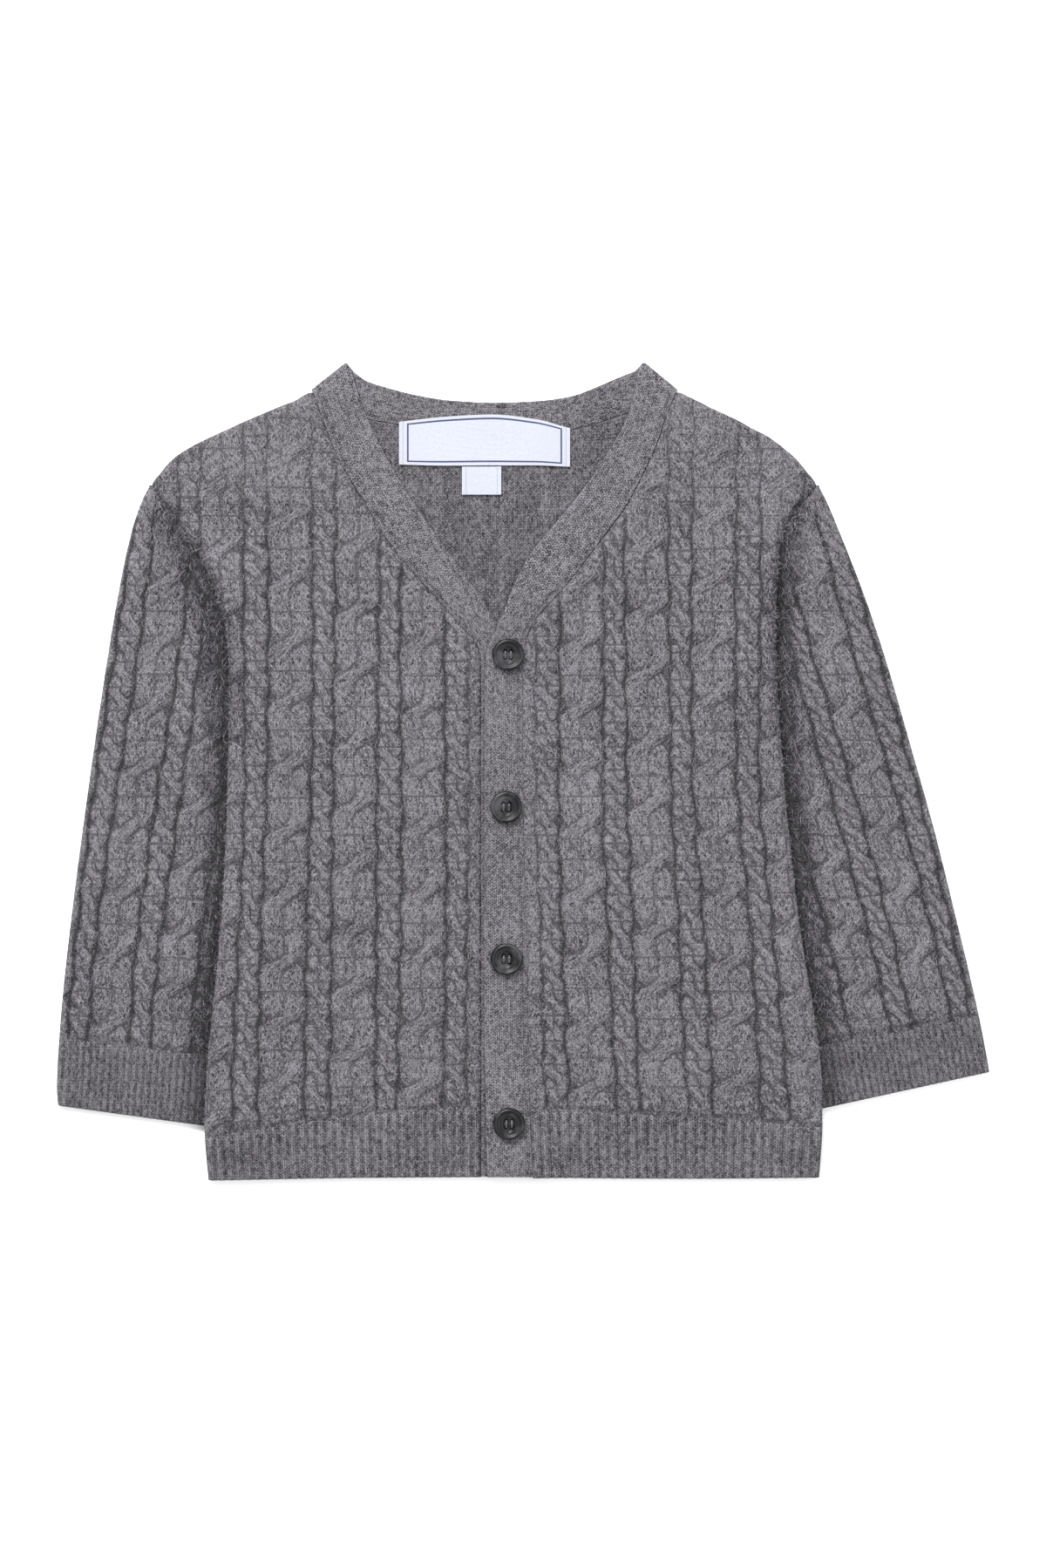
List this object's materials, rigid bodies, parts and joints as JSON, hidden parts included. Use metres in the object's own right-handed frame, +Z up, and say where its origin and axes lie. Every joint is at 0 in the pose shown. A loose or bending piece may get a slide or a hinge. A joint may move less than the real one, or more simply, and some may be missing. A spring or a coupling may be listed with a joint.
{
  "type": "baby cardigan",
  "caption": "Cable-knit V-neck baby cardigan, buttoned and lying flat front side up, long sleeves beside the body, ribbed cuffs and hem",
  "frame": {"origin": "on the surface the cardigan lies on, in the middle of its outline", "axes": "+X to the wearer's left, across the sleeves, +Y from the hem to the neck, +Z up, away from the surface, through back and front"},
  "size_m": [0.3322, 0.2915, 0.0085],
  "materials": {
    "knit": "matte",
    "rib": "matte",
    "horn": "satin",
    "woven": "satin"
  },
  "bodies": {
    "root": {"front_right": "knit", "front_left": "knit", "back": "knit", "sleeve_right": "knit", "sleeve_left": "knit", "hem_rib_front_right": "rib", "hem_rib_front_left": "rib", "hem_rib_back": "rib", "cuff_right": "rib", "cuff_left": "rib", "front_band": "rib", "button_1": "horn", "button_2": "horn", "button_3": "horn", "button_4": "horn", "neck_label": "woven", "size_label": "woven"}
  },
  "joints": []
}
